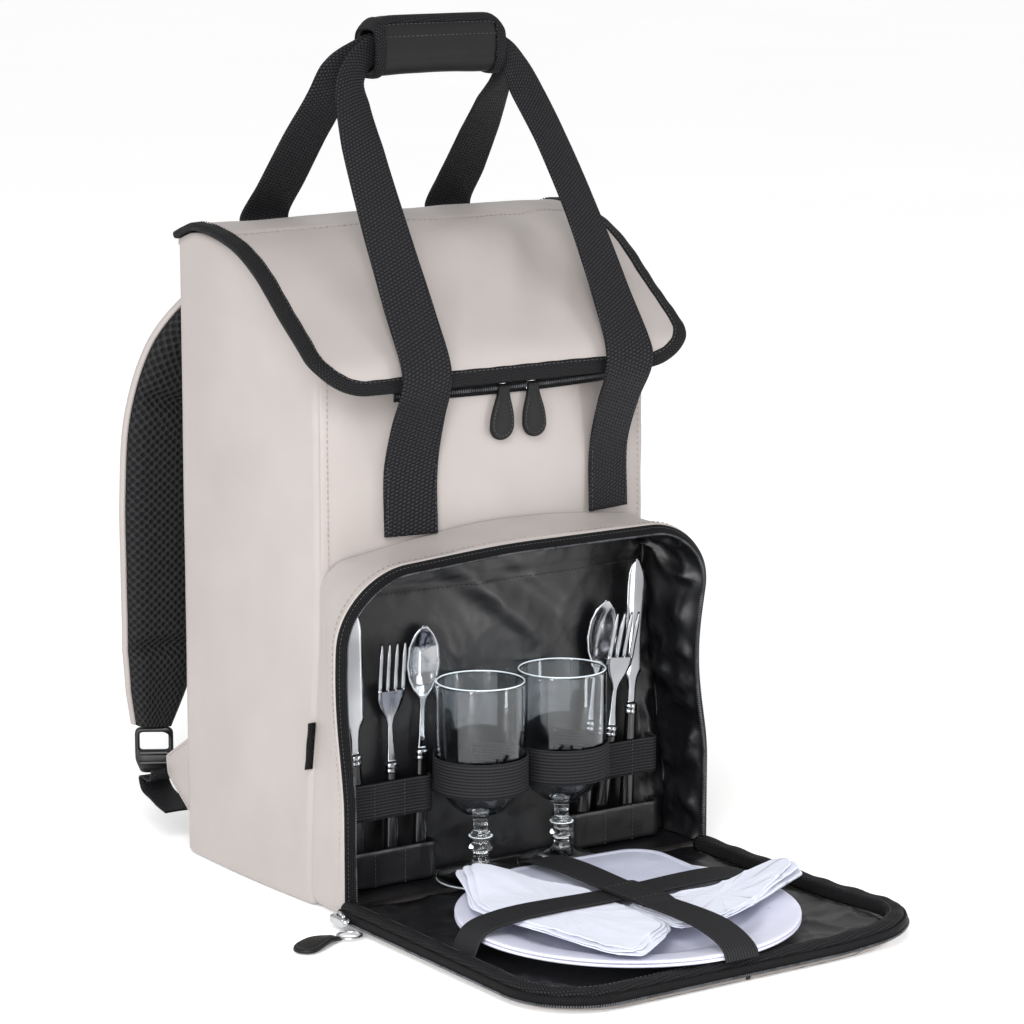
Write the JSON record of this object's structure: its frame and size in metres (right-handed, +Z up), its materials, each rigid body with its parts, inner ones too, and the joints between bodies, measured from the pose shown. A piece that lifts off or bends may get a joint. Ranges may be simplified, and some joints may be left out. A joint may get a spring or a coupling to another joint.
{
  "type": "picnic cooler backpack",
  "caption": "Soft cooler backpack with a domed lid, carry handle and padded straps, its front compartment open with plates, goblets, cutlery and napkins strapped in.",
  "frame": {"origin": "centre of the body's base, on the floor", "axes": "+Z up, the front with the open compartment and its flap towards -Y, +X to the right seen from the front"},
  "size_m": [0.3854, 0.5434, 0.598],
  "materials": {
    "leatherette": "matte greige coated cloth",
    "mesh": "black air mesh",
    "binding": "black woven binding",
    "webbing": "black woven webbing",
    "zip_tape": "black tape with grey coil",
    "lining": "black nylon, slight sheen",
    "black_leather": "black leatherette",
    "elastic": "ribbed black elastic",
    "steel": "polished stainless steel",
    "handle": "gloss black",
    "clear": "clear moulded plastic",
    "plate": "satin white",
    "board": "satin pale grey",
    "cotton": "white cotton",
    "buckle": "moulded black",
    "nickel": "nickel plate"
  },
  "bodies": {
    "root": {"body_shell": "leatherette", "lid": "leatherette", "pocket_gusset": "leatherette", "shoulder_strap_left": "leatherette", "shoulder_strap_right": "leatherette", "anchor_tab_left": "leatherette", "anchor_tab_right": "leatherette", "back_panel": "mesh", "strap_mesh_left": "mesh", "strap_mesh_right": "mesh", "lid_binding": "binding", "flap_rim": "binding", "side_label": "binding", "front_handle": "webbing", "back_handle": "webbing", "strap_webbing_left": "webbing", "strap_webbing_right": "webbing", "lid_zip_tape": "zip_tape", "pocket_zip_tape": "zip_tape", "flap_zip_tape": "zip_tape", "pocket_lining": "lining", "flap_panel": "lining", "lid_pull_left": "black_leather", "lid_pull_right": "black_leather", "pocket_pull": "black_leather", "grip_wrap": "black_leather", "plate_strap_wide": "elastic", "plate_strap_long": "elastic", "goblet_band_left": "elastic", "goblet_band_right": "elastic", "cutlery_band_left": "elastic", "cutlery_band_right": "elastic", "cutlery_sleeve_left": "elastic", "cutlery_sleeve_right": "elastic", "knife_left": "steel", "fork_left": "steel", "spoon_left": "steel", "knife_right": "steel", "fork_right": "steel", "spoon_right": "steel", "knife_left_handle": "handle", "fork_left_handle": "handle", "spoon_left_handle": "handle", "knife_right_handle": "handle", "fork_right_handle": "handle", "spoon_right_handle": "handle", "goblet_left": "clear", "goblet_right": "clear", "plate_lower": "plate", "plate_upper": "plate", "board": "board", "napkin_left": "cotton", "napkin_right": "cotton", "strap_buckle_left": "buckle", "strap_buckle_right": "buckle", "pocket_slider": "nickel", "pocket_ring": "nickel"}
  },
  "joints": []
}
